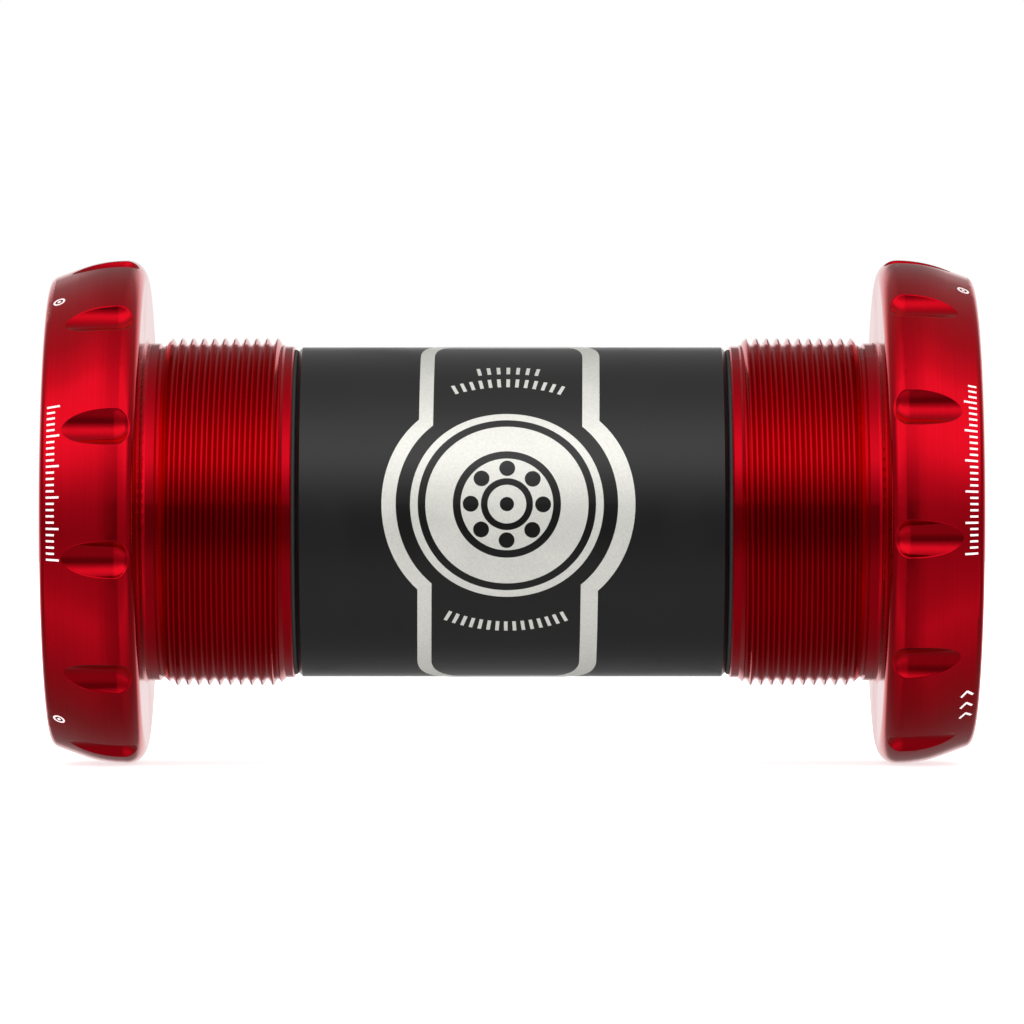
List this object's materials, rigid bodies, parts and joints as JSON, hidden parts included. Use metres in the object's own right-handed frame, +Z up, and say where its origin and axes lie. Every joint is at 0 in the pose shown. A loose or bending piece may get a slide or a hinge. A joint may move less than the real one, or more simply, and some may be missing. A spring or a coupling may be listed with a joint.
{
  "type": "bottom bracket",
  "caption": "Threaded bicycle bottom bracket: notched red outboard bearing cups joined by a black centre sleeve, for a large push-through crank spindle.",
  "frame": {"origin": "on the spindle axis, midway between the two cups, at the centre of the bounding box", "axes": "+X along the spindle axis from the drive side to the non-drive side, -Y towards the front of the bicycle, +Z up"},
  "size_m": [0.092, 0.0504, 0.0504],
  "materials": {
    "red_anodised_aluminium": "gloss anodised red, fine turned",
    "black_anodised_aluminium": "satin anodised black",
    "bearing_steel": "ground",
    "polished_balls": "polished",
    "cage_polymer": "moulded",
    "seal_rubber": "matt",
    "shield_polymer": "moulded, satin",
    "o_ring_rubber": "smooth"
  },
  "bodies": {
    "drive_side_cup": {"drive_side_cup": "red_anodised_aluminium", "drive_bearing_outer_race": "bearing_steel", "drive_bearing_inboard_seal": "seal_rubber", "drive_bearing_outboard_seal": "seal_rubber"},
    "drive_spindle_seat": {"drive_bearing_inner_race": "bearing_steel", "drive_dust_shield": "shield_polymer", "drive_shield_o_ring": "o_ring_rubber"},
    "drive_ball_set": {"drive_bearing_balls": "polished_balls", "drive_ball_cage": "cage_polymer"},
    "drive_sleeve_o_ring": {"drive_sleeve_o_ring": "o_ring_rubber"},
    "non_drive_side_cup": {"non_drive_side_cup": "red_anodised_aluminium", "non_drive_bearing_outer_race": "bearing_steel", "non_drive_bearing_inboard_seal": "seal_rubber", "non_drive_bearing_outboard_seal": "seal_rubber"},
    "non_drive_spindle_seat": {"non_drive_bearing_inner_race": "bearing_steel", "non_drive_dust_shield": "shield_polymer", "non_drive_shield_o_ring": "o_ring_rubber"},
    "non_drive_ball_set": {"non_drive_bearing_balls": "polished_balls", "non_drive_ball_cage": "cage_polymer"},
    "non_drive_sleeve_o_ring": {"non_drive_sleeve_o_ring": "o_ring_rubber"},
    "centre_sleeve": {"centre_sleeve": "black_anodised_aluminium"}
  },
  "joints": [
    {"name": "drive_spindle_spin", "type": "hinge", "parent": "drive_side_cup", "child": "drive_spindle_seat", "pos_m": [-0.0411, 0, 0], "axis": [1, 0, 0], "continuous": true},
    {"name": "drive_ball_orbit", "type": "hinge", "parent": "drive_side_cup", "child": "drive_ball_set", "pos_m": [-0.0411, 0, 0], "axis": [1, 0, 0], "continuous": true},
    {"name": "non_drive_spindle_spin", "type": "hinge", "parent": "non_drive_side_cup", "child": "non_drive_spindle_seat", "pos_m": [0.0411, 0, 0], "axis": [1, 0, 0], "continuous": true},
    {"name": "non_drive_ball_orbit", "type": "hinge", "parent": "non_drive_side_cup", "child": "non_drive_ball_set", "pos_m": [0.0411, 0, 0], "axis": [1, 0, 0], "continuous": true},
    {"name": "drive_sleeve_slide", "type": "slide", "parent": "drive_side_cup", "child": "drive_sleeve_o_ring", "axis": [1, 0, 0], "range_m": [0, 0.004]},
    {"name": "drive_cup_turn", "type": "hinge", "parent": "drive_sleeve_o_ring", "child": "centre_sleeve", "pos_m": [-0.0213, 0, 0], "axis": [1, 0, 0], "continuous": true},
    {"name": "non_drive_cup_turn", "type": "hinge", "parent": "centre_sleeve", "child": "non_drive_sleeve_o_ring", "pos_m": [0.0213, 0, 0], "axis": [1, 0, 0], "continuous": true},
    {"name": "non_drive_sleeve_slide", "type": "slide", "parent": "non_drive_sleeve_o_ring", "child": "non_drive_side_cup", "axis": [1, 0, 0], "range_m": [0, 0.004]}
  ],
  "couplings": [
    {"joint": "drive_ball_orbit", "follows": "drive_spindle_spin", "ratio": 0.4504},
    {"joint": "non_drive_ball_orbit", "follows": "non_drive_spindle_spin", "ratio": 0.4504}
  ]
}
